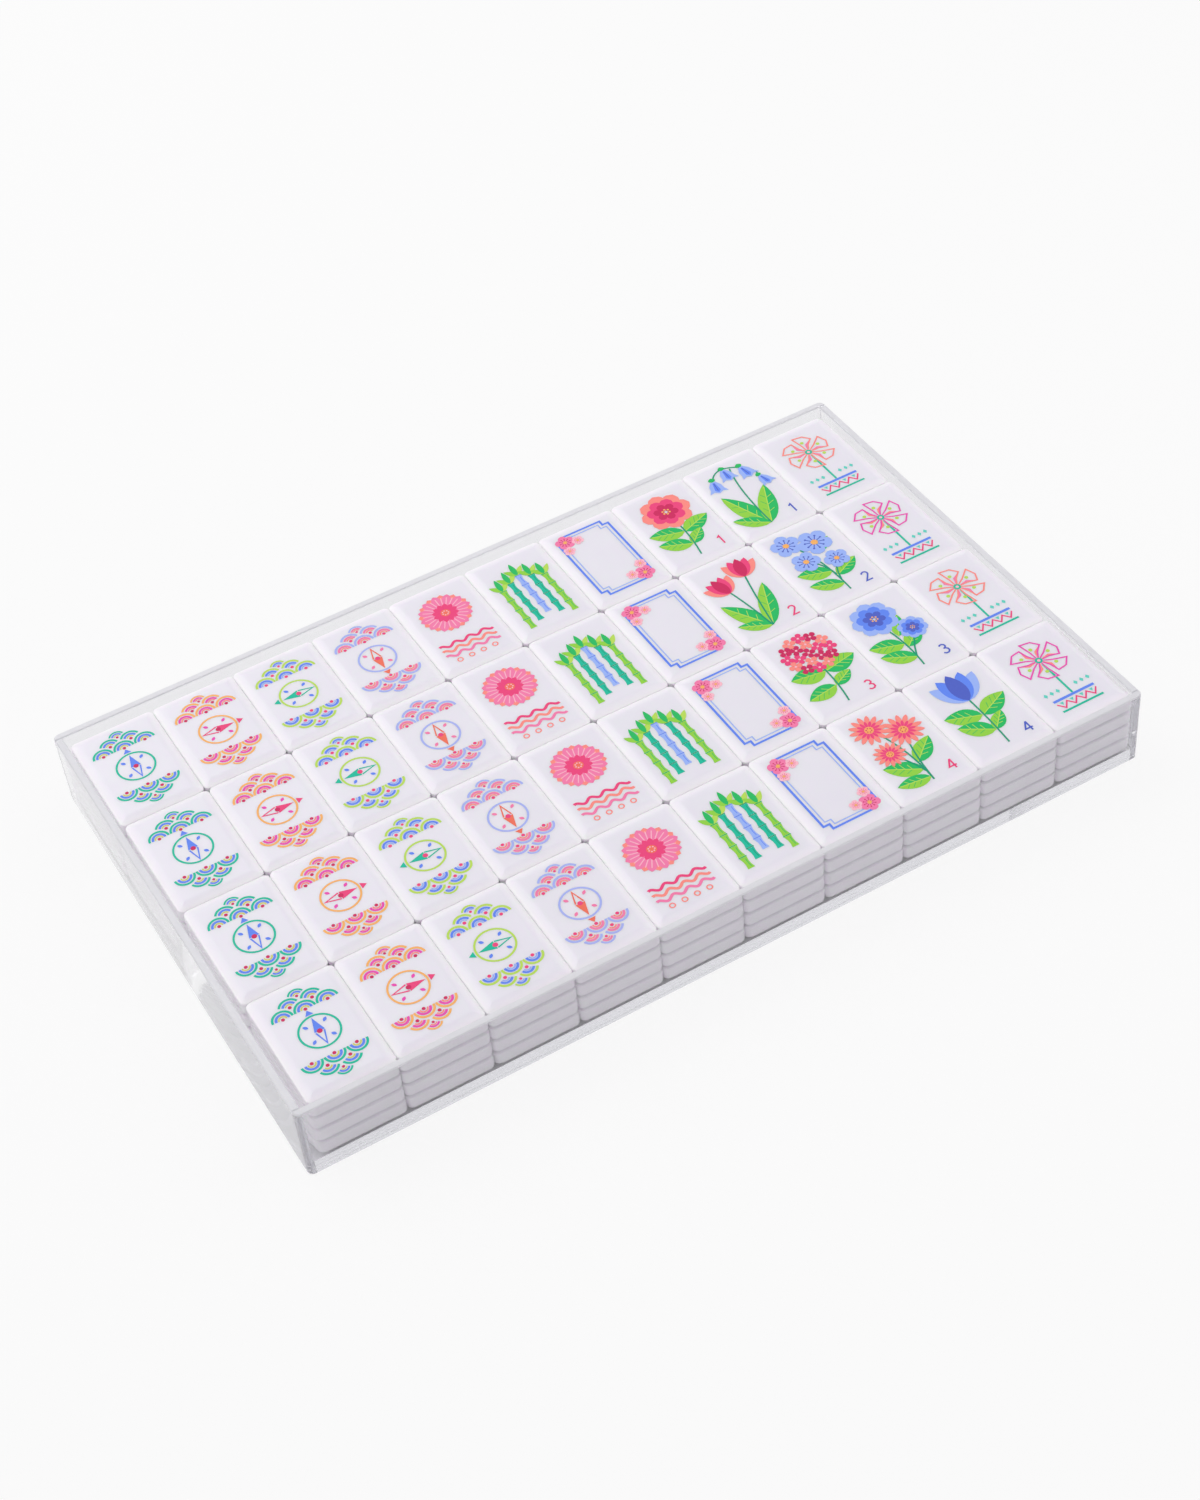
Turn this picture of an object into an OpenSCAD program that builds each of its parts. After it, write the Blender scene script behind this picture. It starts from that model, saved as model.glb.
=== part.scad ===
// A set of mahjong tiles packed in an open clear tray: ten columns by four rows, stacked four deep.
// The tray is five acrylic panels bonded edge to edge. Every tile is a loose block with rolled edges.
// Millimetres, +Z up, +Y towards the back. The origin is the centre of the tray's underside.

/* [Tile] */
// Width of a tile, along the tray's long side
tile_w = 19.9; // [15:0.1:30]
// Length of a tile, from its foot to its head
tile_l = 29.9; // [20:0.1:45]
// Thickness of a tile
tile_t = 3.95; // [2.8:0.05:16]
// Radius rolled onto every edge and corner of a tile
tile_edge_r = 1.3; // [0.3:0.05:1.35]

/* [Packing] */
// Gap between tiles that stand side by side
side_gap = 0.1; // [0.05:0.05:0.6]
// Gap between a tile and the one that lies under it
layer_gap = 0.05; // [0.02:0.01:0.2]
// Gap between the front row and the front wall
front_gap = 0.35; // [0.1:0.05:3]
// Gap between the back row and the back wall
back_gap = 2.35; // [0.1:0.05:6]
// Gap between the back row and the left wall
left_gap = 0.55; // [0.1:0.05:6]
// Gap between the front row and the right wall
right_gap = 0.15; // [0.1:0.05:6]
// How far each loose row has slid to the right of the row behind it
row_slide = 0.45; // [0:0.05:2]

/* [Tray] */
// Thickness of the four walls
wall_t = 1.8; // [1.5:0.1:6]
// Thickness of the base
base_t = 2.8; // [1.5:0.1:8]
// Height of the rim above the printed faces
rim_rise = 0.4; // [0.1:0.1:10]
// Radius of the tray's four upright outer corners
tray_corner_r = 1.5; // [0.5:0.1:4]
// Width of the polished bevel along the rim's edges
rim_bevel = 0.25; // [0.05:0.05:0.8]

/* [Hidden] */
$fn = 48;

// The ten kinds of tile in the top layer, from the left column to the right
kinds = [
    "north_wind", "east_wind", "west_wind", "south_wind", "red_dragon",
    "green_dragon", "white_dragon", "red_flower", "blue_flower", "joker"
];
columns = len(kinds);
rows = 4;
layers = 4;

// The roll on a tile's edges always leaves some flat side between its face and its back
roll_limit_share = 0.45;
roll_r = min(tile_edge_r, roll_limit_share * tile_t);

// Distances from one tile to the next
column_pitch = tile_w + side_gap;
row_pitch = tile_l + side_gap;
layer_pitch = tile_t + layer_gap;

// The block of tiles, the space it lies in and the tray round that space
block_l = columns * column_pitch - side_gap;
block_w = rows * row_pitch - side_gap;
block_h = layers * layer_pitch;
inside_l = left_gap + (rows - 1) * row_slide + block_l + right_gap;
inside_w = front_gap + block_w + back_gap;
tray_l = inside_l + 2 * wall_t;
tray_w = inside_w + 2 * wall_t;
tray_h = base_t + block_h + rim_rise;

// The outer corners are rounded within the thickness of the long walls
corner_limit_share = 0.95;
outer_corner_r = min(tray_corner_r, corner_limit_share * wall_t);

// Centre of the first tile: left column, back row, lowest layer
first_x = -inside_l / 2 + left_gap + tile_w / 2;
first_y = inside_w / 2 - back_gap - tile_l / 2;
first_z = base_t + layer_gap + tile_t / 2;

tile_colour = [0.93, 0.92, 0.96];
acrylic_colour = [0.86, 0.88, 0.89, 0.4];

function tile_name(column, row) = str(kinds[column], "_", row + 1);
function under_name(column) = str("under_tiles_", column + 1);

// Rectangle centred on the origin with its corners rounded to the tile's roll
module rolled_rectangle(x, y) {
    square([x, y - 2 * roll_r], center = true);
    square([x - 2 * roll_r, y], center = true);
    for (right = [-1, 1], up = [-1, 1])
        translate([right * (x / 2 - roll_r), up * (y / 2 - roll_r)])
            circle(r = roll_r);
}

// One tile centred on the origin, face up: three rolled slabs that cross, with a ball in each corner.
// The slabs give the flat faces and the rolled edges, and the balls carry the rolls round the corners.
module tile() {
    flat_w = tile_w - 2 * roll_r;
    flat_l = tile_l - 2 * roll_r;
    flat_t = tile_t - 2 * roll_r;
    rotate([90, 0, 90])
        linear_extrude(height = flat_w, center = true)
            rolled_rectangle(tile_l, tile_t);
    rotate([90, 0, 0])
        linear_extrude(height = flat_l, center = true)
            rolled_rectangle(tile_w, tile_t);
    linear_extrude(height = flat_t, center = true)
        rolled_rectangle(tile_w, tile_l);
    for (right = [-1, 1], back = [-1, 1], up = [-1, 1])
        translate([right * flat_w / 2, back * flat_l / 2, up * flat_t / 2])
            sphere(r = roll_r);
}

// One tile in its place in the block; layer 0 lies on the base
module placed_tile(column, row, layer) {
    translate([
        first_x + column * column_pitch + row * row_slide,
        first_y - row * row_pitch,
        first_z + layer * layer_pitch
    ])
        tile();
}

// A single tile of the top layer
module top_tile(column, row) {
    color(tile_colour)
        placed_tile(column, row, layers - 1);
}

// The tiles that lie under one column of the top layer
module under_tiles(column) {
    color(tile_colour)
        for (row = [0 : rows - 1], layer = [0 : layers - 2])
            placed_tile(column, row, layer);
}

// Section of a wall, outer face at 0: full height, with a fine bevel on both edges of its rim
module wall_section() {
    polygon([
        [0, 0],
        [wall_t, 0],
        [wall_t, tray_h - rim_bevel],
        [wall_t - rim_bevel, tray_h],
        [rim_bevel, tray_h],
        [0, tray_h - rim_bevel]
    ]);
}

// Plan of a long wall, outer face at 0: its two outer corners are rounded
module long_wall_plan() {
    translate([-tray_l / 2, outer_corner_r])
        square([tray_l, wall_t - outer_corner_r]);
    translate([outer_corner_r - tray_l / 2, 0])
        square([tray_l - 2 * outer_corner_r, wall_t]);
    for (side = [-1, 1])
        intersection() {
            translate([side * (tray_l / 2 - outer_corner_r), outer_corner_r])
                circle(r = outer_corner_r);
            translate([-tray_l / 2, 0])
                square([tray_l, wall_t]);
        }
}

// A wall along one long side of the tray, as wide as the tray
module long_wall() {
    color(acrylic_colour)
        translate([0, -tray_w / 2, 0])
            intersection() {
                linear_extrude(height = tray_h)
                    long_wall_plan();
                rotate([90, 0, 90])
                    linear_extrude(height = tray_l, center = true)
                        wall_section();
            }
}

module front_wall() {
    long_wall();
}

module back_wall() {
    mirror([0, 1, 0])
        long_wall();
}

// A wall across one end of the tray, between the two long walls
module end_wall() {
    color(acrylic_colour)
        translate([-tray_l / 2, 0, 0])
            rotate([90, 0, 0])
                linear_extrude(height = inside_w, center = true)
                    wall_section();
}

module left_wall() {
    end_wall();
}

module right_wall() {
    mirror([1, 0, 0])
        end_wall();
}

// The base, held between the four walls and level with their lower edges
module base_panel() {
    color(acrylic_colour)
        translate([-inside_l / 2, -inside_w / 2, 0])
            cube([inside_l, inside_w, base_t]);
}

base_panel();
front_wall();
back_wall();
left_wall();
right_wall();

for (column = [0 : columns - 1])
    under_tiles(column);

for (column = [0 : columns - 1], row = [0 : rows - 1])
    top_tile(column, row);
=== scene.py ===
import math

import bpy
from mathutils import Matrix, Vector


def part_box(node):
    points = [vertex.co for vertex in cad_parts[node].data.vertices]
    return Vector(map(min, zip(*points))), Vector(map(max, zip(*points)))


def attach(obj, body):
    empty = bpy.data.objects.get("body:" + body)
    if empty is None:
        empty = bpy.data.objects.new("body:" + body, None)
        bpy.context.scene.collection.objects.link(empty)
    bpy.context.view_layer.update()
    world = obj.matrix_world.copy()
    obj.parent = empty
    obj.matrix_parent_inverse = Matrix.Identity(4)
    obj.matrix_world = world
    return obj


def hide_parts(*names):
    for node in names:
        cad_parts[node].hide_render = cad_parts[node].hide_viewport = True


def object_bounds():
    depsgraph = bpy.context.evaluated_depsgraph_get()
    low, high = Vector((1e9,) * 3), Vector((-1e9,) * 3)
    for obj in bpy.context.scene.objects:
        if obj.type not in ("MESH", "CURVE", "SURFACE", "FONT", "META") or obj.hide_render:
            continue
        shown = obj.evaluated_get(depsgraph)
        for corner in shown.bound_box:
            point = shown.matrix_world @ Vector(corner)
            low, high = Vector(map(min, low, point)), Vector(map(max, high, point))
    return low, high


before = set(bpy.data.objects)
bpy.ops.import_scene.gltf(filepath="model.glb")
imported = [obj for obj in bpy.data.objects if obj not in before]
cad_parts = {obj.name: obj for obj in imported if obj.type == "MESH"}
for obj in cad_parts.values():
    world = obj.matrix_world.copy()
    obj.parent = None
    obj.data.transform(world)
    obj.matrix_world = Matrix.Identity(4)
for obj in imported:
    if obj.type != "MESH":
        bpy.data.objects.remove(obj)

mm = 0.001
scene = bpy.context.scene
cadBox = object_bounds()
kinds = [
    "north_wind", "east_wind", "west_wind", "south_wind", "red_dragon",
    "green_dragon", "white_dragon", "red_flower", "blue_flower", "joker",
]
rowCount = 4


# Shader sockets that can be added and multiplied like numbers

class Wire:
    def __init__(self, tree, socket):
        self.tree = tree
        self.socket = socket

    @classmethod
    def node(cls, tree, kind, settings=None, inputs=None, out=0):
        made = tree.nodes.new(kind)
        for name, value in (settings or {}).items():
            setattr(made, name, value)
        for name, value in (inputs or {}).items():
            if isinstance(value, Wire):
                tree.links.new(value.socket, made.inputs[name])
            else:
                made.inputs[name].default_value = value
        return cls(tree, made.outputs[out]) if made.outputs else made

    def other(self, name):  # another output of the same node
        return Wire(self.tree, self.socket.node.outputs[name])

    def maths(self, operation, first, second):
        return Wire.node(self.tree, "ShaderNodeMath", {"operation": operation}, {0: first, 1: second})

    def __add__(self, value):
        return self.maths("ADD", self, value)

    def __sub__(self, value):
        return self.maths("SUBTRACT", self, value)

    def __mul__(self, value):
        return self.maths("MULTIPLY", self, value)


def linear(hexCode):  # web colour to scene colour
    parts = [int(hexCode[i:i + 2], 16) / 255 for i in (1, 3, 5)]
    return tuple(p / 12.92 if p <= 0.04045 else ((p + 0.055) / 1.055) ** 2.4 for p in parts)


def newMaterial(name):
    material = bpy.data.materials.new(name)
    material.use_nodes = True
    material.node_tree.nodes.clear()
    return material, material.node_tree


def surface(tree, shader):
    Wire.node(tree, "ShaderNodeOutputMaterial", None, {"Surface": shader})


def objectPlace(tree):
    return Wire.node(tree, "ShaderNodeTexCoord", None, None, "Object")


def noise(tree, scale, detail=3):
    place = objectPlace(tree)
    return Wire.node(tree, "ShaderNodeTexNoise", None, {"Vector": place, "Scale": scale, "Detail": detail})


def blend(tree, factor, first, second):
    return Wire.node(tree, "ShaderNodeMix", {"data_type": "RGBA"}, {0: factor, 6: first, 7: second}, 2)


tileLook = {
    "pale": linear("#ebe9f1"),
    "deep": linear("#e6e4ed"),
    # lighter colour for the bevels and sides: a painted highlight that lightens the tile's edges the way
    # falling light would
    "edge": linear("#f7f3fa"),
    "cloudScale": 90,        # slow drift of the tint
    "grainScale": 2600,      # fine polishing marks
    "grainDetail": 4,
    "roughness": 0.26,
    "roughnessSpread": 0.12,
    "peel": 0.06,
    "peelDepth": 0.02 * mm,
    "depth": 0.6,            # share of light that sinks in before it comes back
    "depthRadius": (1.0, 0.8, 1.0),
    "depthScale": 1.5 * mm,
}


def tileMaterial():
    material, tree = newMaterial("polishedTile")
    look = tileLook
    grain = noise(tree, look["grainScale"], look["grainDetail"])
    bump = {"Strength": look["peel"], "Distance": look["peelDepth"], "Height": grain}
    face = blend(tree, noise(tree, look["cloudScale"]), (*look["pale"], 1), (*look["deep"], 1))
    # a per-point share blends the lighter edge colour in over the bevels and sides: painted highlight
    edgeShare = Wire.node(tree, "ShaderNodeAttribute", {"attribute_name": "edgeShare"}, None, "Fac")
    surface(tree, Wire.node(tree, "ShaderNodeBsdfPrincipled", None, {
        "Base Color": blend(tree, edgeShare, face, (*look["edge"], 1)),
        "Roughness": grain * look["roughnessSpread"] + look["roughness"],
        "Subsurface Weight": look["depth"],
        "Subsurface Radius": look["depthRadius"],
        "Subsurface Scale": look["depthScale"],
        "Normal": Wire.node(tree, "ShaderNodeBump", None, bump),
    }))
    return material


inkLook = {
    "mottleScale": 1400,
    "darkest": 0.94,
    "roughness": 0.4,
    "roughnessSpread": 0.12,
    "gloss": 0.25,
}


def inkMaterial():
    material, tree = newMaterial("printedInk")
    look = inkLook
    colour = Wire.node(tree, "ShaderNodeAttribute", {"attribute_name": "inkColour"}, None, "Color")
    mottle = noise(tree, look["mottleScale"])
    shade = (look["darkest"], look["darkest"], look["darkest"], 1)
    multiply = {"data_type": "RGBA", "blend_type": "MULTIPLY"}
    deeper = Wire.node(tree, "ShaderNodeMix", multiply, {0: mottle, 6: colour, 7: shade}, 2)
    surface(tree, Wire.node(tree, "ShaderNodeBsdfPrincipled", None, {
        "Base Color": deeper,
        "Roughness": mottle * look["roughnessSpread"] + look["roughness"],
        "Specular IOR Level": look["gloss"],
    }))
    return material


acrylicLook = {
    "tints": {"wall": ("#f1f1f3", "#eeeef0"), "base": ("#fcfcfd", "#f9f9fb")},
    "tintScale": 60,
    "haze": 0.002,
    "hazeScale": 160,
    "index": 1.49,
    "lampShare": 0.93,       # how much of a lamp's light a wall lets through
}


def acrylicMaterial(panel):
    material, tree = newMaterial(f"{panel}Acrylic")
    look = acrylicLook
    clear, smoky = (linear(tint) for tint in look["tints"][panel])
    tint = noise(tree, look["tintScale"])
    glass = Wire.node(tree, "ShaderNodeBsdfPrincipled", None, {
        "Base Color": blend(tree, tint, (*clear, 1), (*smoky, 1)),
        "Roughness": noise(tree, look["hazeScale"]) * look["haze"],
        "IOR": look["index"],
        "Transmission Weight": 1.0,
    })
    through = (look["lampShare"], look["lampShare"], look["lampShare"], 1)
    unlit = Wire.node(tree, "ShaderNodeBsdfTransparent", None, {"Color": through})
    lampRay = Wire.node(tree, "ShaderNodeLightPath", None, None, "Is Shadow Ray")
    surface(tree, Wire.node(tree, "ShaderNodeMixShader", None, {0: lampRay, 1: glass, 2: unlit}))
    return material


sawnLook = {
    "pale": linear("#e6e6ea"),
    "deep": linear("#dedee3"),
    "streakScale": 220,
    "streakDetail": 5,
    "roughness": 0.4,
    "roughnessSpread": 0.2,
    "index": 1.49,
    "clearShare": 0.35,
}


def sawnMaterial():
    material, tree = newMaterial("sawnAcrylic")
    look = sawnLook
    streak = noise(tree, look["streakScale"], look["streakDetail"])
    surface(tree, Wire.node(tree, "ShaderNodeBsdfPrincipled", None, {
        "Base Color": blend(tree, streak, (*look["pale"], 1), (*look["deep"], 1)),
        "Roughness": streak * look["roughnessSpread"] + look["roughness"],
        "IOR": look["index"],
        "Transmission Weight": look["clearShare"],
    }))
    return material


tileFinish = tileMaterial()
inkFinish = inkMaterial()
wallFinish = acrylicMaterial("wall")
baseFinish = acrylicMaterial("base")
sawnFinish = sawnMaterial()
print("materials ready")


# Meshes from stacked loops of points

def roundedLoop(halfX, halfY, radii, z, steps):  # radii from the right back corner, anticlockwise
    loop = []
    for quarter, (sx, sy) in enumerate([(1, 1), (-1, 1), (-1, -1), (1, -1)]):
        radius = radii[quarter]
        for step in range(steps + 1):
            angle = math.radians(90 * (quarter + step / steps))
            x = sx * (halfX - radius) + radius * math.cos(angle)
            y = sy * (halfY - radius) + radius * math.sin(angle)
            loop.append((x, y, z))
    return loop


def skinLoops(name, loops, centre, material, edgeHighlightShares=()):
    points = [Vector(point) + centre for loop in loops for point in loop]
    count = len(loops[0])
    faces = [list(reversed(range(count)))]
    for lower in range(0, len(points) - count, count):
        upper = lower + count
        for i in range(count):
            j = (i + 1) % count
            faces.append([lower + i, lower + j, upper + j, upper + i])
    faces.append(list(range(len(points) - count, len(points))))
    mesh = bpy.data.meshes.new(name)
    mesh.from_pydata(points, [], faces)
    mesh.shade_smooth()
    mesh.materials.append(material)
    if edgeHighlightShares:
        shares = [share for share in edgeHighlightShares for _ in range(count)]
        mesh.attributes.new("edgeShare", "FLOAT", "POINT").data.foreach_set("value", shares)
    return mesh


def addObject(name, mesh):
    made = bpy.data.objects.new(name, mesh)
    scene.collection.objects.link(made)
    return made


def middleAndSize(node):
    low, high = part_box(node)
    return (low + high) / 2, high - low


# The tile: a slab whose face falls away in a shallow bevel, with a small round down to its sides

tileShape = {
    "bevelRun": 2.1 * mm,      # how far the soft bevel reaches in over the face
    "bevelDrop": 0.6 * mm,     # how far it falls
    "edgeRound": 0.18 * mm,
    "backRound": 0.5 * mm,
    "cornerRadius": 1.35 * mm,
    "cornerShrink": 0.8,       # how fast the corners tighten towards the face
    "sharpestRadius": 0.2 * mm,
    "flatBand": 0.5 * mm,      # keeps the shading of the flat face even
    "bevelBend": 1.12,         # 1 is a straight bevel
    "snug": 0.03 * mm,         # tiles in a tray all but touch
    "topSteps": 5,             # faces round each corner and over each edge
    "underSteps": 3,
}


def tileMesh(name, size, centre, steps):
    shape = tileShape
    halfX, halfY, halfZ = size.x / 2 + shape["snug"], size.y / 2 + shape["snug"], size.z / 2

    def loopAt(inset, z):
        radius = max(shape["cornerRadius"] - shape["cornerShrink"] * inset, shape["sharpestRadius"])
        return roundedLoop(halfX - inset, halfY - inset, [radius] * 4, z, steps)

    loops = [loopAt(shape["backRound"] + shape["flatBand"], -halfZ)]
    for step in range(steps + 1):
        angle = math.pi / 2 * step / steps
        inset = shape["backRound"] * (1 - math.sin(angle))
        loops.append(loopAt(inset, -halfZ + shape["backRound"] * (1 - math.cos(angle))))
    slope = math.atan(shape["bevelBend"] * shape["bevelDrop"] / shape["bevelRun"])
    edge = shape["edgeRound"]
    for step in range(steps + 1):  # from the upright side to the slope of the bevel
        angle = math.pi / 2 + (slope - math.pi / 2) * step / steps
        drop = shape["bevelDrop"] + edge * (math.cos(slope) - math.cos(angle))
        loops.append(loopAt(edge * (1 - math.sin(angle)), halfZ - drop))
    foot = edge * (1 - math.sin(slope))
    # share of the painted edge highlight: full on the underside, sides and bevel, fading to none on the flat
    # face
    edgeHighlightShares = [1.0] * len(loops)
    for step in range(1, steps + 1):
        share = 1 - step / steps
        edgeHighlightShares.append(share)
        inset = shape["bevelRun"] + (foot - shape["bevelRun"]) * share
        loops.append(loopAt(inset, halfZ - shape["bevelDrop"] * share ** shape["bevelBend"]))
    loops.append(loopAt(shape["bevelRun"] + shape["flatBand"], halfZ))
    return skinLoops(name, loops, centre, tileFinish, edgeHighlightShares + [0.0])


def makeTopTiles():
    for kind in kinds:
        for row in range(rowCount):
            node = f"{kind}_{row + 1}"
            centre, size = middleAndSize(node)
            mesh = tileMesh(f"{node}.block", size, centre, tileShape["topSteps"])
            block = addObject(mesh.name, mesh)
            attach(block, node)
            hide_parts(node)


makeTopTiles()
print("top tiles:", len(kinds) * rowCount)


# The tiles below, one stack for each column, and the dots printed on their faces

def nodeTree(name, sockets):
    tree = bpy.data.node_groups.new(name, "GeometryNodeTree")
    ids = {}
    for socket, kind in sockets:
        ids[socket] = tree.interface.new_socket(name=socket, in_out="INPUT", socket_type=kind).identifier
    tree.interface.new_socket(name="Geometry", in_out="OUTPUT", socket_type="NodeSocketGeometry")
    given = tree.nodes.new("NodeGroupInput").outputs

    def make(kind, inputs):
        node = tree.nodes.new(kind)
        for socket, link in inputs.items():
            tree.links.new(link, node.inputs[socket])
        return node.outputs

    return tree, ids, given, make


def repeatAt(tree, given, make, points):  # a copy of the given piece at each point, as one mesh
    piece = make("GeometryNodeObjectInfo", {"Object": given["Piece"]})["Geometry"]
    copies = make("GeometryNodeInstanceOnPoints", {"Points": points, "Instance": piece})[0]
    solid = make("GeometryNodeRealizeInstances", {"Geometry": copies})[0]
    done = make("GeometryNodeSetMaterial", {"Geometry": solid, "Material": given["Finish"]})[0]
    tree.links.new(done, tree.nodes.new("NodeGroupOutput").inputs[0])


def stackTree():
    tree, ids, given, make = nodeTree("tileStack", [
        ("Piece", "NodeSocketObject"), ("Finish", "NodeSocketMaterial"), ("Rows", "NodeSocketInt"),
        ("Layers", "NodeSocketInt"), ("First Place", "NodeSocketVector"), ("Row Step", "NodeSocketVector"),
        ("Layer Step", "NodeSocketVector"),
    ])
    rows = make("GeometryNodeMeshLine", {
        "Count": given["Rows"], "Start Location": given["First Place"], "Offset": given["Row Step"],
    })[0]
    layers = make("GeometryNodeMeshLine", {"Count": given["Layers"], "Offset": given["Layer Step"]})[0]
    places = make("GeometryNodeInstanceOnPoints", {"Points": rows, "Instance": layers})[0]
    repeatAt(tree, given, make, make("GeometryNodeRealizeInstances", {"Geometry": places})[0])
    return tree, ids


def dotTree():
    tree, ids, given, make = nodeTree("dotPrint", [
        ("Places", "NodeSocketGeometry"), ("Piece", "NodeSocketObject"), ("Finish", "NodeSocketMaterial"),
    ])
    repeatAt(tree, given, make, given["Places"])
    return tree, ids


def grown(name, treeAndIds, values, places=()):
    start = bpy.data.meshes.new(name + ".places")
    start.from_pydata(list(places), [], [])
    carrier = addObject(start.name, start)
    modifier = carrier.modifiers.new("nodes", "NODES")
    tree, ids = treeAndIds
    modifier.node_group = tree
    for socket, value in values.items():
        modifier[ids[socket]] = value
    mesh = bpy.data.meshes.new_from_object(carrier.evaluated_get(bpy.context.evaluated_depsgraph_get()))
    bpy.data.objects.remove(carrier)
    mesh.name = name
    return addObject(name, mesh)


layerCount = 3
tileSize = middleAndSize("north_wind_1")[1]
rowStep = middleAndSize("north_wind_2")[0] - middleAndSize("north_wind_1")[0]
stackNodes = stackTree()
masterMesh = tileMesh("tileMaster", tileSize, Vector(), tileShape["underSteps"])
tileMaster = bpy.data.objects.new("tileMaster", masterMesh)


def makeStacks():
    for column, kind in enumerate(kinds):
        node = f"under_tiles_{column + 1}"
        low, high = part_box(node)
        first = middleAndSize(f"{kind}_1")[0]
        first.z = low.z + tileSize.z / 2
        layerStep = (high.z - low.z - tileSize.z) / (layerCount - 1)
        stack = grown(f"{node}.blocks", stackNodes, {
            "Piece": tileMaster, "Finish": tileFinish, "Rows": rowCount, "Layers": layerCount,
            "First Place": first, "Row Step": rowStep, "Layer Step": (0, 0, layerStep),
        })
        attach(stack, node)
        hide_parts(node)


makeStacks()
print("tile stacks:", len(kinds))


# Printing: flat inks drawn in millimetres about the middle of a tile's face, y towards its head

inks = {
    "teal": "#12c0a0", "aqua": "#62d6c6", "blue": "#628af6", "sky": "#9db8fb", "periwinkle": "#a9b6f7",
    "lime": "#bce05a", "olive": "#d9d765", "green": "#1fbd62", "leaf": "#94d544", "deepGreen": "#0b9a75",
    "amber": "#fbb566", "coral": "#ff8f86", "vermilion": "#f4745c", "rose": "#f0447f", "magenta": "#ee4db4",
    "pink": "#f77fae", "blush": "#ffc0cf", "crimson": "#d0225f", "navy": "#4f63c8",
}
printFilm = {"sink": 0.01 * mm, "lift": 0.012 * mm, "levelStep": 0.003 * mm}  # higher levels lie on top
mitreLimit = 0.4  # keeps the sharp corners of a line from running out


def fill(ink, outline, level=0):
    turns = [a[0] * b[1] - a[1] * b[0] for a, b in zip(outline, outline[1:] + outline[:1])]
    return {"ink": ink, "outline": outline if sum(turns) > 0 else outline[::-1], "level": level}


def stroke(ink, path, width, level=0, closed=False):  # mitred at its corners
    count = len(path)
    left, right = [], []
    for i, here in enumerate(path):
        here = Vector(here)
        before = Vector(path[i - 1]) if closed or i else None
        after = Vector(path[(i + 1) % count]) if closed or i < count - 1 else None
        into = (here - before if before else after - here).normalized()
        out = (after - here if after else here - before).normalized()
        mitre = (into + out).normalized()
        reach = width / 2 / max(mitre.dot(into), mitreLimit)
        aside = Vector((-mitre.y, mitre.x)) * reach
        left.append(tuple(here + aside))
        right.append(tuple(here - aside))
    return {"ink": ink, "rails": (right, left), "closed": closed, "level": level}


def moved(marks, x=0, y=0, turn=0, size=1, lift=0):
    cos, sin = math.cos(math.radians(turn)) * size, math.sin(math.radians(turn)) * size

    def place(points):
        return [(px * cos - py * sin + x, px * sin + py * cos + y) for px, py in points]

    made = []
    for mark in marks:
        copy = dict(mark, level=mark["level"] + lift)
        if "outline" in mark:
            copy["outline"] = place(mark["outline"])
        else:
            copy["rails"] = tuple(place(rail) for rail in mark["rails"])
        made.append(copy)
    return made


def arc(radius, start, end, steps=14):
    angles = [math.radians(start + (end - start) * step / steps) for step in range(steps + 1)]
    return [(radius * math.cos(a), radius * math.sin(a)) for a in angles]


def disc(radius, steps=16):
    return arc(radius, 0, 360 - 360 / steps, steps - 1)


def petal(length, width, fat=1.0, blunt=0.8, steps=9):  # from its foot at the origin, along y
    side = []
    for step in range(1, steps):
        t = step / steps
        side.append((width / 2 * math.sin(math.pi * t ** fat) ** blunt, length * t))
    return [(0, 0)] + side + [(0, length)] + [(-x, y) for x, y in reversed(side)]


def around(marks, count, radius=0, start=0, climb=0):  # climb lays each copy a little over the last
    made = []
    for i in range(count):
        made += moved(moved(marks, 0, radius), turn=start + 360 * i / count, lift=climb * i)
    return made


def curve(start, bend, end, steps=12):
    points = []
    for step in range(steps + 1):
        t = step / steps
        weights = ((1 - t) ** 2, 2 * t * (1 - t), t ** 2)
        pulls = list(zip(weights, (start, bend, end)))
        points.append(tuple(sum(weight * point[axis] for weight, point in pulls) for axis in (0, 1)))
    return points


windLooks = {
    "north_wind": {
        "turn": 0, "rule": "teal", "arc": "blue",
        "bit": "olive", "dot": "crimson", "needle": "blue",
    },
    "east_wind": {
        "turn": -90, "rule": "amber", "arc": "magenta",
        "bit": "coral", "dot": "crimson", "needle": "rose",
    },
    "west_wind": {
        "turn": 90, "rule": "lime", "arc": "blue",
        "bit": "sky", "dot": "rose", "needle": "teal",
    },
    "south_wind": {
        "turn": 180, "rule": "periwinkle", "arc": "pink",
        "bit": "coral", "dot": "rose", "needle": "vermilion",
    },
}


def waveScale(look, start, end):  # one scale of the wave pattern
    return [
        fill(look["dot"], disc(0.42, 10)),
        stroke(look["bit"], arc(0.85, start, end), 0.34),
        stroke(look["arc"], arc(1.42, start, end), 0.55),
        stroke(look["rule"], arc(2.2, start, end), 0.52),
    ]


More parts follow.
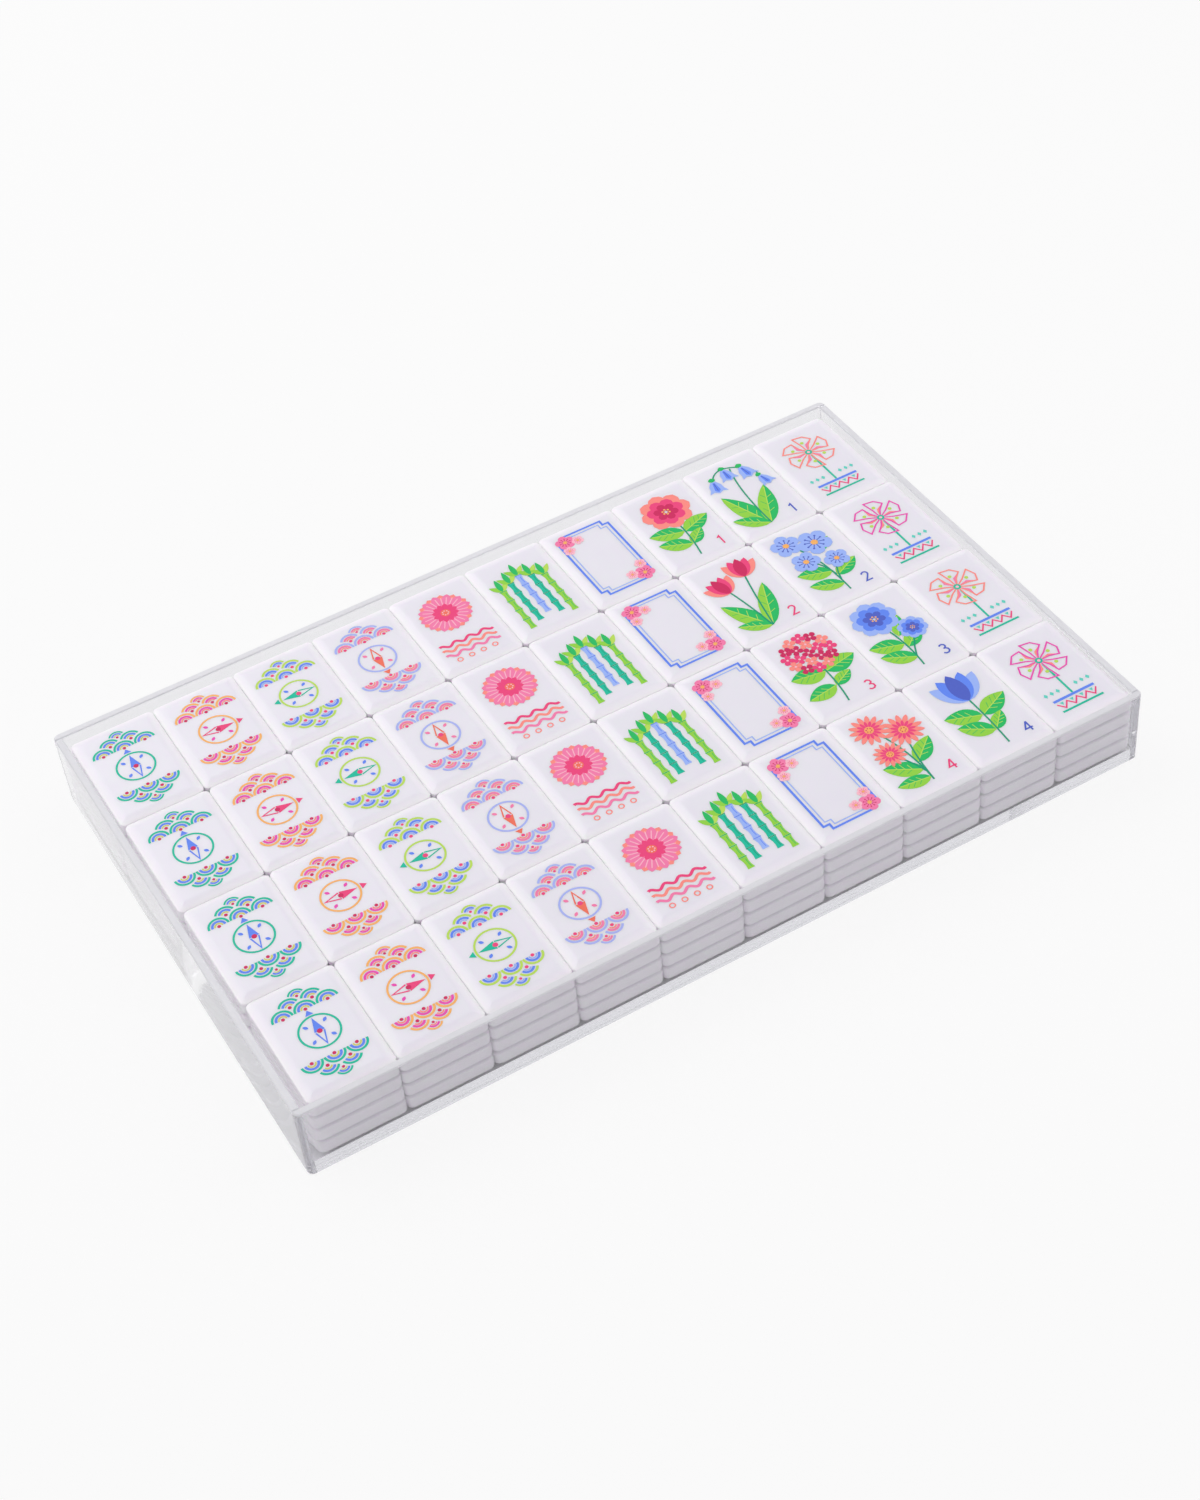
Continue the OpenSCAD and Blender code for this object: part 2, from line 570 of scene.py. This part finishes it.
def windFace(kind, row):
    look = windLooks[kind]
    crest = []
    for x in (-5.0, 0, 5.0):
        crest += moved(waveScale(look, 0, 180), x, 6.6)
    for x in (-2.5, 2.5):
        crest += moved(waveScale(look, 24, 156), x, 8.7)
    crest += moved(waveScale(look, 24, 156), 0, 10.7, size=0.8)
    needle = [
        fill(look["needle"], [(-1.15, 0), (1.15, 0), (0, 3.9)], 1),
        stroke(look["needle"], [(-0.95, -0.2), (0, -3.6), (0.95, -0.2)], 0.36, 1),
        stroke(look["rule"], disc(4.3, 48), 0.46, closed=True),
        fill(look["dot"], disc(0.6, 12), 2),
        fill(look["needle"], [(-0.9, 4.75), (0.9, 4.75), (0, 6.1)]),
    ]
    ticks = around([fill(look["arc"], petal(1.3, 0.75))], 4, 2.4, 45)
    return crest + moved(crest, turn=180) + moved(needle + ticks, turn=look["turn"])


def chrysanthemumFace(kind, row):
    marks = around([fill("coral", petal(4.7, 2.3, 1.3, 0.6))], 12, 1.7, 15)
    marks += around([fill("pink", petal(4.7, 2.3, 1.3, 0.6), 1)], 12, 1.7)
    marks += around([stroke("blush", [(0, 0), (0, 2.9)], 0.22, 2)], 24, 2.4)
    marks += around([fill("rose", petal(2.5, 1.35, 1.2, 0.6), 3)], 12, 0.7, 7.5, 0.25)
    marks += [fill("vermilion", disc(1.15, 20), 7)]
    marks += around([fill("blush", disc(0.2, 8), 8)], 7, 0.7)
    marks = moved(marks, 0, 4.6)
    wave = [(x / 4, math.sin(x / 4 * 1.75) * 0.5) for x in range(-27, 28)]
    for line, ink in enumerate(("rose", "coral", "pink")):
        marks += moved([stroke(ink, wave, 0.7)], 0, -5.6 - 1.75 * line)
    for x in (-4.5, -1.5, 1.5, 4.5):
        marks += moved([stroke("coral", disc(0.6), 0.3, closed=True)], x, -11.2)
    return marks


bambooLook = {
    "canes": [
        ("leaf", "green"), ("teal", "deepGreen"), ("sky", "blue"), ("teal", "deepGreen"), ("leaf", "green"),
    ],
    "blades": [(-40, 3.6, "lime"), (40, 3.6, "leaf"), (0, 4.6, "green")],  # turn, length, ink
    "spacing": 2.75,
    "joints": 4,
    "pitch": 3.75,           # from one joint to the next
    "foot": -11.6,
    "arch": 1.5,             # how much higher a cane stands than the one outside it
}


def bambooFace(kind, row):
    look = bambooLook
    half = [(0.85, 0), (0.62, 1.2), (0.62, 2.2), (0.85, 3.4)]
    segment = half + [(-x, y) for x, y in reversed(half)]
    height = look["pitch"] * look["joints"]
    middle = len(look["canes"]) // 2
    marks = []
    for place, (ink, shade) in enumerate(look["canes"]):
        x = look["spacing"] * (place - middle)
        top = look["foot"] + height + look["arch"] * (middle - abs(place - middle))
        span = [
            fill(ink, segment),
            stroke(shade, [(-0.95, 3.57), (0.95, 3.57)], 0.26, 1),
            stroke(shade, [(0.3, 0.5), (0.2, 1.7), (0.3, 2.9)], 0.18, 1),
        ]
        for joint in range(look["joints"]):
            marks += moved(span, x, top - height + look["pitch"] * joint)
        for blade, (turn, reach, tone) in enumerate(look["blades"]):
            level = 2 + len(look["blades"]) * place + blade
            marks += moved([fill(tone, petal(reach, 1.4, 0.8), level)], x, top - 0.1, turn)
    return marks


def plum(petalInk, heartInk):
    marks = around([fill(petalInk, petal(2.1, 2.05, 1.25, 0.5))], 5, 0.35, 0, 0.25)
    marks += around([stroke(heartInk, [(0, 0), (0, 0.75)], 0.14, 2)], 10, 0.5, 18)
    marks += around([fill(heartInk, disc(0.16, 8), 3)], 10, 1.3, 18)
    return marks + [fill("amber", disc(0.5, 12), 4)]


def frameRule(ink, halfX, halfY, notch, width):
    corner = [(halfX, halfY - notch), (halfX - notch, halfY - notch), (halfX - notch, halfY)]
    path = []
    for sx, sy in ((1, 1), (-1, 1), (-1, -1), (1, -1)):
        points = [(sx * x, sy * y) for x, y in corner]
        path += points if sx * sy > 0 else points[::-1]
    return [stroke(ink, path, width, closed=True)]


def frameFace(kind, row):
    marks = frameRule("blue", 6.9, 11.9, 1.5, 0.55) + frameRule("sky", 5.9, 10.9, 1.5, 0.28)
    leaves = [fill("leaf", petal(2.4, 1.0))]
    corner = moved(leaves, turn=150) + moved(leaves, turn=-60) + moved(plum("pink", "crimson"), lift=1)
    corner += moved(plum("blush", "rose"), 2.9, -0.9, 20, 0.62, 6)
    corner += moved(plum("blush", "rose"), -0.6, -3.3, 50, 0.62, 11)
    corner = moved(corner, -5.1, 9.9, lift=1)
    return marks + corner + moved(corner, turn=180)


leafLook = {
    "fat": 0.85,             # below 1 a leaf is widest nearer its foot
    "blunt": 0.8,
    "ribShare": 0.93,        # how much of the leaf's length its middle rib runs
    "ribWidth": 0.2,
    "veins": (0.28, 0.46, 0.64),
    "veinReach": 0.33,
    "veinRise": 0.9,
    "veinWidth": 0.13,
}


def leafMarks(length, width):
    look = leafLook
    outline = petal(length, width, look["fat"], look["blunt"])
    half = len(outline) // 2 + 1
    marks = [fill("green", outline[:half]), fill("leaf", [outline[0]] + outline[half - 1:])]
    marks.append(stroke("lime", [(0, 0), (0, length * look["ribShare"])], look["ribWidth"], 1.5))
    for share in look["veins"]:
        reach = width * look["veinReach"] * math.sin(math.pi * share ** look["fat"])
        for side in (-1, 1):
            vein = [(0, length * share), (side * reach, length * share + reach * look["veinRise"])]
            marks.append(stroke("lime" if side > 0 else "green", vein, look["veinWidth"], 1))
    return marks


def peony(inner, middle, outer):
    marks = around([fill(outer, petal(3.2, 2.5, 1.4, 0.5))], 8, 0.6, 0, 0.25)
    marks += around([fill(middle, petal(2.4, 1.9, 1.4, 0.5), 2.5)], 7, 0.4, 20, 0.25)
    marks += around([fill(inner, petal(1.6, 1.2, 1.4, 0.5), 5)], 6, 0.2, 8, 0.25)
    return marks + around([fill("amber", disc(0.17, 8), 7)], 6, 0.5)


def tulip(inner, middle, outer):
    marks = []
    petals = [(38, outer), (-38, outer), (19, middle), (-19, middle), (0, inner)]
    for level, (turn, ink) in enumerate(petals):
        marks += moved([fill(ink, petal(4.4, 1.9, 0.9, 0.75), level)], turn=turn)
    return marks


def daisy(inner, middle, outer):
    marks = around([fill(outer, petal(2.7, 0.85, 1.2, 0.6))], 14, 0.55)
    marks += around([fill(middle, petal(1.5, 0.5, 1.2, 0.6), 1)], 14, 0.5, 13)
    return marks + [fill("amber", disc(0.75, 16), 2)] + around([fill(inner, disc(0.14, 6), 3)], 6, 0.42)


def cluster(inner, middle, outer):
    floret = around([fill(outer, petal(0.95, 0.85, 1.3, 0.5))], 4, 0.1)
    marks = []
    for ring, (count, radius) in enumerate([(1, 0), (6, 1.75), (12, 3.2)]):
        for i in range(count):
            angle = math.radians(360 * i / count + 12 * ring)
            x, y = radius * math.cos(angle), radius * math.sin(angle)
            ink = (inner, middle, outer)[(i + ring) % 3]
            marks += moved([dict(mark, ink=ink) for mark in floret], x, y, 30 * i, 0.95, 3 * ring + i % 3)
            marks += moved([fill("blush", disc(0.18, 8), 9)], x, y)
    return marks


def bell(inner, middle, outer):
    side = [(-0.5, 0), (-1.15, -1.1), (-1.3, -2.2), (-1.75, -3.1), (-0.85, -2.8)]
    cup = side + [(0, -3.3)] + [(-x, y) for x, y in reversed(side)]
    throat = [(-0.2, -0.3), (-0.55, -2.4), (0, -3.0), (0.55, -2.4), (0.2, -0.3)]
    return [
        fill(outer, cup),
        fill(middle, throat, 1),
        stroke(inner, [(0, -0.4), (0, -2.5)], 0.16, 2),
        fill("green", petal(1.1, 1.3, 0.9), 2),
    ]


def starFlower(inner, middle, outer):
    return plum(outer, inner)


def bow(middle, reachX, reachY, angles):  # points on an oval, angles in radians
    return [(reachX * math.cos(angle), middle + reachY * math.sin(angle)) for angle in angles]


digits = {
    1: [[(-0.55, 1.0), (0.1, 1.5), (0.1, -1.5)]],
    2: [bow(0.75, 0.75, 0.75, (2.9, 2.3, 1.6, 0.9, 0.2, -0.5)) + [(-0.75, -1.5), (0.85, -1.5)]],
    3: [
        bow(0.78, 0.7, 0.7, (2.6, 2.0, 1.3, 0.5, -0.3, -1.1)) + [(-0.1, 0.1)],
        [(-0.1, 0.1)] + bow(-0.7, 0.85, 0.82, (1.1, 0.4, -0.4, -1.2, -2.0, -2.7)),
    ],
    4: [[(0.45, -1.5), (0.45, 1.5)], [(0.4, 1.4), (-0.85, -0.6), (1.0, -0.6)]],
}
sprays = {  # heads: x, y, turn, size; leaves: x, y, turn, length, width; stems: start, bend, end
    "red_flower": [
        {
            "blossom": peony,
            "heads": [(0.2, 5.6, 0, 1.7)],
            "leaves": [
                (0.2, -3.0, 72, 8.0, 4.4), (0.2, -3.0, -70, 7.6, 4.4),
                (-0.4, -7.8, 64, 7.6, 4.0), (-0.4, -7.8, -48, 5.6, 3.2),
            ],
            "stems": [((0.2, 2.0), (0.8, -4.0), (-0.8, -12.0))],
        },
        {
            "blossom": tulip,
            "heads": [(-3.0, 2.4, 16, 1.45), (2.8, 5.4, -10, 1.5)],
            "leaves": [
                (-0.8, -12.0, 30, 12.5, 4.4), (-0.6, -12.0, -22, 13.5, 4.2), (-0.8, -12.0, 62, 7.4, 3.0),
            ],
            "stems": [((-3.0, 2.4), (-1.6, -4.0), (-0.8, -12.0)), ((2.8, 5.4), (1.0, -2.0), (-0.6, -12.0))],
        },
        {
            "blossom": cluster,
            "heads": [(0.2, 5.6, 0, 1.65)],
            "leaves": [
                (0.2, -1.4, 80, 7.8, 5.0), (0.2, -1.4, -80, 7.8, 5.0),
                (-0.4, -6.4, 98, 7.2, 4.2), (-0.4, -6.4, -64, 5.4, 3.2),
            ],
            "stems": [((0.2, 0.0), (0.4, -6.0), (-0.8, -12.0))],
        },
        {
            "blossom": daisy,
            "heads": [(-3.0, 7.8, 0, 1.4), (3.2, 3.8, 10, 1.45), (-3.4, -0.8, 5, 1.15)],
            "leaves": [
                (0.2, -8.4, 58, 8.2, 4.2), (0.2, -6.0, -50, 7.8, 4.2), (0.2, -11.0, 82, 7.4, 3.4),
            ],
            "stems": [
                ((-3.0, 7.8), (0.8, 0.0), (0.2, -12.0)), ((3.2, 3.8), (0.8, -3.0), (0.2, -12.0)),
                ((-3.4, -0.8), (-0.8, -5.0), (0.2, -9.0)),
            ],
        },
    ],
    "blue_flower": [
        {
            "blossom": bell,
            "heads": [
                (-5.0, 8.4, -8, 1.35), (-0.8, 10.8, 0, 1.3), (3.4, 9.4, 8, 1.35), (5.6, 4.0, 12, 1.15),
            ],
            "leaves": [
                (-1.4, -12.0, 20, 14.0, 4.6), (-1.2, -12.0, -24, 13.0, 4.4), (-1.4, -12.0, 54, 8.4, 3.4),
            ],
            "stems": [
                ((-5.0, 8.4), (-2.0, 13.6), (3.4, 9.4)), ((3.4, 9.4), (6.2, 7.4), (5.6, 4.0)),
                ((1.0, 10.4), (-1.6, 2.0), (-1.3, -12.0)),
            ],
        },
        {
            "blossom": starFlower,
            "heads": [
                (-3.8, 8.8, 0, 1.55), (2.4, 6.2, 20, 1.75), (-3.0, 1.4, 40, 1.45), (3.6, -1.4, 10, 1.3),
            ],
            "leaves": [
                (0.4, -4.6, 70, 7.8, 4.2), (0.6, -6.4, -64, 7.0, 3.8), (0.4, -9.6, 66, 7.6, 3.6),
                (0.8, 3.0, -58, 5.8, 3.0),
            ],
            "stems": [
                ((-3.8, 8.8), (0.8, 3.0), (0.4, -12.0)), ((3.6, -1.4), (1.4, -4.0), (0.5, -8.0)),
                ((-3.0, 1.4), (0.0, -1.0), (0.5, -6.0)),
            ],
        },
        {
            "blossom": peony,
            "heads": [(-1.6, 6.4, 0, 1.5), (4.0, -0.6, 20, 0.95)],
            "leaves": [
                (-0.6, -4.2, 70, 7.6, 4.4), (-0.4, -5.4, -52, 6.6, 3.8), (-0.4, -9.2, 60, 7.8, 4.0),
                (-0.2, -1.4, -30, 6.6, 3.0),
            ],
            "stems": [((-1.6, 3.4), (0.2, -4.0), (-0.8, -12.0)), ((4.0, -2.0), (1.2, -4.6), (-0.4, -8.6))],
        },
        {
            "blossom": tulip,
            "heads": [(0.2, 3.0, 0, 2.1)],
            "leaves": [
                (0.0, -2.2, 68, 8.0, 4.6), (0.0, -2.2, -66, 8.0, 4.6),
                (-0.2, -7.4, 56, 7.8, 4.2), (-0.2, -7.4, -44, 5.6, 3.2),
            ],
            "stems": [((0.2, 3.0), (0.4, -4.0), (-0.2, -12.0))],
        },
    ],
}
sprayLook = {
    "inks": {"red_flower": ("crimson", "rose", "coral"), "blue_flower": ("navy", "blue", "sky")},
    "numberInks": {"red_flower": "rose", "blue_flower": "navy"},
    "numberPlace": (5.7, -10.4),
    "numberWidth": 0.4,
    "leafSize": 1.08,
    "stemWidth": 0.38,
    "leafLevels": 2,         # how far each leaf, stem and blossom lies over the one before
    "stemLevels": 0.25,
    "headLevels": 8,
    "firstStem": 8,
    "firstHead": 10,
}


def flowerFace(kind, row):
    look = sprayLook
    spray = sprays[kind][row]
    marks = []
    for i, (x, y, turn, length, width) in enumerate(spray["leaves"]):
        marks += moved(leafMarks(length, width), x, y, turn, look["leafSize"], look["leafLevels"] * i)
    for i, path in enumerate(spray["stems"]):
        level = look["firstStem"] + look["stemLevels"] * i
        marks.append(stroke("deepGreen", curve(*path), look["stemWidth"], level))
    for i, (x, y, turn, size) in enumerate(spray["heads"]):
        level = look["firstHead"] + look["headLevels"] * i
        marks += moved(spray["blossom"](*look["inks"][kind]), x, y, turn, size, level)
    for i, path in enumerate(digits[row + 1]):
        line = stroke(look["numberInks"][kind], path, look["numberWidth"], i)
        marks += moved([line], *look["numberPlace"])
    return marks


def pinwheelFace(kind, row):
    main, other = ("coral", "pink") if row % 2 == 0 else ("magenta", "coral")
    blade = [(0, 0), (0.25, 2.6), (0.1, 5.6), (2.3, 4.9), (3.3, 3.2), (1.6, 2.0)]
    fold = [(0, 0), (1.6, 2.0), (3.3, 3.2), (1.1, 2.4)]
    wheel = around([stroke(main, blade[::-1], 0.34, 1, True), fill(other, fold)], 6)
    wheel += around([fill("lime", disc(0.42, 10))], 6, 3.4, -16)
    wheel += [fill("teal", disc(0.8, 16), 2), fill("blush", disc(0.35, 10), 3)]
    marks = [stroke("teal", [(0, 3.2), (0, -7.5)], 0.5)] + moved(wheel, 0, 4.6, 8, 1.12, 1)
    for x in (-5.6, -4.0, -2.4, 2.4, 4.0, 5.6):
        marks.append(fill("aqua", [(x - 0.5, -5.4), (x, -6.1), (x + 0.5, -5.4), (x, -4.7)]))
    marks.append(stroke("blue", [(-5.4, -7.9), (5.4, -7.9)], 0.7))
    marks.append(stroke("teal", [(-5.4, -11.4), (5.4, -11.4)], 0.55))
    zigzag = [(-5.2 + 1.3 * i, -10.6 if i % 2 else -8.9) for i in range(9)]
    marks.append(stroke("rose", zigzag, 0.36))
    for x in (-3.9, -1.3, 1.3, 3.9):
        marks.append(fill("aqua", [(x - 0.5, -8.7), (x, -9.6), (x + 0.5, -8.7)], 1))
    return marks


faces = {kind: windFace for kind in windLooks}
faces.update(red_dragon=chrysanthemumFace, green_dragon=bambooFace, white_dragon=frameFace)
faces.update(red_flower=flowerFace, blue_flower=flowerFace, joker=pinwheelFace)


def inkMesh(name, marks, centre):  # each mark becomes a thin closed film
    points, polygons, colours = [], [], []
    for mark in marks:
        low = centre.z - printFilm["sink"]
        high = centre.z + printFilm["lift"] + printFilm["levelStep"] * mark["level"]
        first = len(points)
        made = []
        rails = [mark["outline"]] if "outline" in mark else mark["rails"]
        count = len(rails[0])
        for rail in rails:
            for z in (low, high):
                points += [(centre.x + x * mm, centre.y + y * mm, z) for x, y in rail]
        under, over = first, first + count
        if len(rails) == 1:
            made.append([over + i for i in range(count)])
            made.append([under + i for i in reversed(range(count))])
            for i in range(count):
                j = (i + 1) % count
                made.append([under + i, under + j, over + j, over + i])
        else:
            leftUnder, leftOver = first + 2 * count, first + 3 * count
            for i in range(count if mark["closed"] else count - 1):
                j = (i + 1) % count
                made.append([over + i, over + j, leftOver + j, leftOver + i])
                made.append([leftUnder + i, leftUnder + j, under + j, under + i])
                made.append([under + i, under + j, over + j, over + i])
                made.append([leftUnder + j, leftUnder + i, leftOver + i, leftOver + j])
            if not mark["closed"]:
                end = count - 1
                made.append([under, over, leftOver, leftUnder])
                made.append([under + end, leftUnder + end, leftOver + end, over + end])
        polygons += made
        colours += [(*linear(inks[mark["ink"]]), 1)] * sum(len(face) for face in made)
    mesh = bpy.data.meshes.new(name)
    mesh.from_pydata(points, [], polygons)
    mesh.attributes.new("inkColour", "FLOAT_COLOR", "CORNER").data.foreach_set(
        "color", [part for colour in colours for part in colour]
    )
    mesh.materials.append(inkFinish)
    return mesh


def makePrints():
    for kind in kinds:
        for row in range(rowCount):
            node = f"{kind}_{row + 1}"
            centre, size = middleAndSize(node)
            face = centre + Vector((0, 0, size.z / 2))
            mesh = inkMesh(f"{node}.print", faces[kind](kind, row), face)
            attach(addObject(mesh.name, mesh), node)


makePrints()
print("printed faces:", len(kinds) * rowCount)


# Dots on the faces that a lifted tile uncovers: one to nine, in lines as on a counting tile

dotLines = {
    1: [1], 2: [1, 1], 3: [1, 1, 1],
    4: [2, 2], 5: [2, 1, 2], 6: [2, 2, 2],
    7: [2, 3, 2], 8: [3, 2, 3], 9: [3, 3, 3],
}
dotSpread = {"x": 5.4 * mm, "y": 8.2 * mm}


def dotPlaces(count, middle):
    places = []
    lines = dotLines[count]
    for i, line in enumerate(lines):
        y = dotSpread["y"] * (0.5 * (len(lines) - 1) - i)
        for j in range(line):
            x = dotSpread["x"] * (j - 0.5 * (line - 1))
            places.append(middle + Vector((x, y, 0)))
    return places


dotMarks = [
    stroke("blue", disc(1.75, 14), 0.5, closed=True),
    fill("rose", disc(0.95, 6)),
    fill("teal", disc(0.4, 5), 1),
]
dotMaster = bpy.data.objects.new("dotMaster", inkMesh("dotMaster", dotMarks, Vector()))
dotNodes = dotTree()


def makeDots():
    for column, kind in enumerate(kinds):
        node = f"under_tiles_{column + 1}"
        places = []
        for row in range(rowCount):
            middle = middleAndSize(f"{kind}_{row + 1}")[0]
            middle.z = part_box(node)[1].z
            places += dotPlaces((column + 3 * row) % len(dotLines) + 1, middle)
        dots = grown(f"{node}.print", dotNodes, {"Piece": dotMaster, "Finish": inkFinish}, places)
        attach(dots, node)


makeDots()
bpy.data.objects.remove(tileMaster)
bpy.data.objects.remove(dotMaster)
print("dots under the top layer ready")


# The tray: five clear panels, bonded with hardly a gap

trayShape = {
    "outerRadius": 1.5 * mm,
    "easedRadius": 0.05 * mm,
    "rimBevel": 0.25 * mm,
    "footBevel": 0.08 * mm,
    "baseBevel": 0.02 * mm,
    "bondGap": 0.01 * mm,
    "cornerSteps": 6,
    "sharpAngle": 20,
    "rimSlope": 0.1,           # a wall's faces that look up more than this are sawn
}
trayPanels = {  # axes along which a panel lies between others, its rounded corners, whether it has a sawn rim
    "base_panel": {"bonded": (0, 1), "rounded": (), "sawnRim": False},
    "front_wall": {"bonded": (), "rounded": (2, 3), "sawnRim": True},
    "back_wall": {"bonded": (), "rounded": (0, 1), "sawnRim": True},
    "left_wall": {"bonded": (1,), "rounded": (), "sawnRim": True},
    "right_wall": {"bonded": (1,), "rounded": (), "sawnRim": True},
}


def panelLoops(half, panel):
    shape = trayShape

    def loopAt(inset, z):
        rounded, eased = shape["outerRadius"] - inset, shape["easedRadius"]
        radii = [rounded if corner in panel["rounded"] else eased for corner in range(4)]
        return roundedLoop(half.x - inset, half.y - inset, radii, z, shape["cornerSteps"])

    if panel["sawnRim"]:
        foot, top = shape["footBevel"], shape["rimBevel"]
    else:
        foot, top = shape["baseBevel"], shape["baseBevel"]
    return [loopAt(foot, -half.z), loopAt(0, foot - half.z), loopAt(0, half.z - top), loopAt(top, half.z)]


def makeTray():
    for node, panel in trayPanels.items():
        centre, size = middleAndSize(node)
        half = size / 2
        for axis in panel["bonded"]:
            half[axis] -= trayShape["bondGap"]
        finish = wallFinish if panel["sawnRim"] else baseFinish
        mesh = skinLoops(f"{node}.acrylic", panelLoops(half, panel), centre, finish)
        mesh.set_sharp_from_angle(angle=math.radians(trayShape["sharpAngle"]))
        if panel["sawnRim"]:
            mesh.materials.append(sawnFinish)
            for face in mesh.polygons:
                face.material_index = 1 if face.normal.z > trayShape["rimSlope"] else 0
        piece = addObject(mesh.name, mesh)
        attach(piece, "tray")
        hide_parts(node)


makeTray()
print("tray panels:", len(trayPanels))


# Floor, light and camera

stageLook = {
    "floorSize": 6.0,
    "white": 0.965,
    "drop": 0.05 * mm,       # the tray's underside stands just clear of the floor
    "contactFade": 3 * mm,
    "shadowKept": 0.1,       # share of the floor's shading that the camera sees
    "sky": 0.64,
    "skyTint": (1.0, 0.972, 1.0, 1),
    "lampTint": (0.985, 1.0, 0.975),
    "lamps": [
        {"name": "overhead", "place": (0.4, -0.1, 0.6), "size": 0.6, "power": 0.8},
        {"name": "side", "place": (-0.25, 0.62, 0.75), "size": 0.9, "power": 3.6},
    ],
    "bounces": 96,           # light runs a long way inside the clear panels
    "blur": 0.0,             # light comes through the walls unsmoothed
}


def seenRays(tree):  # 1 for rays that show the background, 0 for rays that carry light
    path = Wire.node(tree, "ShaderNodeLightPath", None, None, "Is Camera Ray")
    mirrored = path.maths("MAXIMUM", path.other("Is Glossy Ray"), path.other("Is Transmission Ray"))
    seen = path.maths("MAXIMUM", path, mirrored)
    unscattered = path.maths("LESS_THAN", path.other("Diffuse Depth"), 0.5)  # no matt surface met yet
    return seen * unscattered


def outsideTray(tree):  # 0 on the floor under the tray, where only real light counts, 1 beyond it
    split = Wire.node(tree, "ShaderNodeSeparateXYZ", None, {"Vector": objectPlace(tree)}, "X")
    pastX = split.maths("ABSOLUTE", split, 0) - cadBox[1].x
    pastY = split.maths("ABSOLUTE", split.other("Y"), 0) - cadBox[1].y
    past = pastX.maths("MAXIMUM", pastX, pastY)
    return Wire.node(tree, "ShaderNodeClamp", None, {"Value": past * (1 / stageLook["contactFade"]) + 1})


def makeFloor():
    material, tree = newMaterial("paleFloor")
    white = (stageLook["white"], stageLook["white"], stageLook["white"], 1)
    paint = Wire.node(tree, "ShaderNodeBsdfDiffuse", None, {"Color": white})
    glow = Wire.node(tree, "ShaderNodeEmission", None, {"Color": white, "Strength": 1.0})
    share = seenRays(tree) * outsideTray(tree) * (1 - stageLook["shadowKept"])
    surface(tree, Wire.node(tree, "ShaderNodeMixShader", None, {0: share, 1: paint, 2: glow}))
    half, z = stageLook["floorSize"] / 2, -stageLook["drop"]
    mesh = bpy.data.meshes.new("floor")
    corners = [(-half, -half, z), (half, -half, z), (half, half, z), (-half, half, z)]
    mesh.from_pydata(corners, [], [(0, 1, 2, 3)])
    mesh.materials.append(material)
    addObject("floor", mesh)


def makeWorld():
    world = bpy.data.worlds.new("softWhite")
    world.use_nodes = True
    tree = world.node_tree
    tree.nodes.clear()
    white = (stageLook["white"], stageLook["white"], stageLook["white"], 1)
    sky = {"Color": stageLook["skyTint"], "Strength": stageLook["sky"]}
    light = Wire.node(tree, "ShaderNodeBackground", None, sky)
    shown = Wire.node(tree, "ShaderNodeBackground", None, {"Color": white, "Strength": 1.0})
    mixed = Wire.node(tree, "ShaderNodeMixShader", None, {0: seenRays(tree), 1: light, 2: shown})
    Wire.node(tree, "ShaderNodeOutputWorld", None, {"Surface": mixed})
    scene.world = world


def makeLamps():
    for look in stageLook["lamps"]:
        data = bpy.data.lights.new(look["name"], "AREA")
        data.shape = "DISK"
        data.size = look["size"]
        data.energy = look["power"]
        data.color = stageLook["lampTint"]
        lamp = bpy.data.objects.new(look["name"], data)
        lamp.location = look["place"]
        lamp.rotation_euler = (-lamp.location).to_track_quat("-Z", "Y").to_euler()
        lamp.visible_transmission = False  # the clear panels show the white room, not the lamps
        scene.collection.objects.link(lamp)


cameraLook = {
    "target": (0.61 * mm, -1.86 * mm, 9.6 * mm),
    "distance": 591.8 * mm,
    "elevation": 45.23,
    "azimuth": 25.89,
    "roll": 6.18,
    "lens": 63.89,
    "nearest": 10 * mm,
}


def makeCamera():
    look = cameraLook
    up, turn, roll = (math.radians(look[name]) for name in ("elevation", "azimuth", "roll"))
    ahead = Vector((math.sin(turn) * math.cos(up), math.cos(turn) * math.cos(up), -math.sin(up)))
    level = ahead.cross(Vector((0, 0, 1))).normalized()
    right = level * math.cos(roll) - level.cross(ahead) * math.sin(roll)
    data = bpy.data.cameras.new("camera")
    data.lens = look["lens"]
    data.clip_start = look["nearest"]
    camera = bpy.data.objects.new("camera", data)
    camera.matrix_world = Matrix((right, right.cross(ahead), -ahead)).transposed().to_4x4()
    camera.location = Vector(look["target"]) - ahead * look["distance"]
    scene.collection.objects.link(camera)
    scene.camera = camera


makeFloor()
makeWorld()
makeLamps()
makeCamera()
scene.cycles.max_bounces = stageLook["bounces"]
scene.cycles.glossy_bounces = stageLook["bounces"]
scene.cycles.transmission_bounces = stageLook["bounces"]
scene.cycles.blur_glossy = stageLook["blur"]
scene.view_settings.view_transform = "Standard"
print("stage ready")
